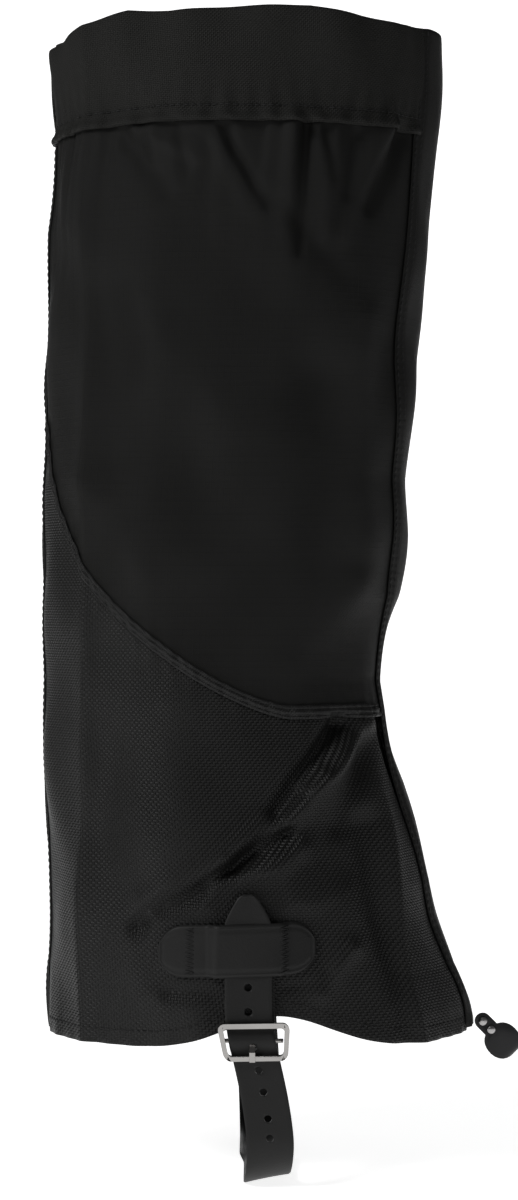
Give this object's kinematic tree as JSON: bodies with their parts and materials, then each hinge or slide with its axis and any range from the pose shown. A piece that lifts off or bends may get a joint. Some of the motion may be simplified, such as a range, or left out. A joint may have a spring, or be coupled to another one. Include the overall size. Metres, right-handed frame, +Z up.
{
  "type": "gaiter",
  "caption": "Knee-high right-leg gaiter with a front flap, elastic cuff, buckled instep strap and lace hook, standing as if worn.",
  "frame": {"origin": "centre line of the boot opening at the height of the hem", "axes": "+Z up the leg, +X to the toe, -Y to the outer side of a right leg"},
  "size_m": [0.2054, 0.1252, 0.4785],
  "materials": {
    "ripstop": "fine black ripstop weave with a soft sheen",
    "oxford": "coarse black coated oxford weave",
    "cuff": "plain fine black weave, matt",
    "webbing": "ribbed black webbing and bar stitching",
    "elastic": "ribbed black elastic",
    "fastener": "black hook and loop pile",
    "coated": "black coated webbing, semi-matt",
    "gunmetal": "polished gunmetal",
    "enamel": "black enamel",
    "steel": "bright rivet steel"
  },
  "bodies": {
    "outer_shell": {"calf_panel_outer": "ripstop", "calf_panel_inner": "ripstop", "ankle_panel_outer": "oxford", "ankle_panel_inner": "oxford", "cuff_band_outer": "cuff", "cuff_band_inner": "cuff", "cuff_lining_outer": "cuff", "cuff_lining_inner": "cuff", "cuff_elastic": "elastic", "hem_facing_outer": "oxford", "hem_facing_inner": "oxford", "seam_tape_outer": "webbing", "seam_tape_inner": "webbing", "back_seam_tape": "webbing", "front_underlap": "ripstop", "hook_tape": "fastener", "strap_keeper": "coated", "strap_keeper_bartack_rear": "webbing", "strap_keeper_bartack_front": "webbing", "strap_anchor": "coated", "strap_anchor_bartack_rear": "webbing", "strap_anchor_bartack_front": "webbing"},
    "storm_flap": {"storm_flap": "ripstop", "loop_tape": "fastener", "flap_binding": "webbing"},
    "instep_strap": {"instep_strap": "coated", "buckle_frame": "gunmetal", "buckle_bar": "gunmetal", "buckle_holder": "webbing"},
    "buckle_prong": {"buckle_prong": "gunmetal"},
    "lace_hook": {"hook_tab": "webbing", "lace_hook": "enamel", "hook_rivet_upper": "steel", "hook_rivet_lower": "steel"}
  },
  "joints": [
    {"name": "flap_opening", "type": "hinge", "parent": "outer_shell", "child": "storm_flap", "pos_m": [0.062, -0.038, 0.2], "axis": [0, 0, -1], "range_deg": [0, 120]},
    {"name": "strap_swing", "type": "hinge", "parent": "outer_shell", "child": "instep_strap", "pos_m": [0.001, 0, 0.0425], "axis": [0, 1, 0], "range_deg": [-8, 8]},
    {"name": "prong_turn", "type": "hinge", "parent": "instep_strap", "child": "buckle_prong", "pos_m": [0.001, -0.05855, 0.0065], "axis": [-1, 0, 0], "range_deg": [0, 60]},
    {"name": "lace_hook_turn", "type": "hinge", "parent": "outer_shell", "child": "lace_hook", "pos_m": [0.0976, 0, 0.0035], "axis": [0, 1, 0], "range_deg": [-25, 35]}
  ]
}
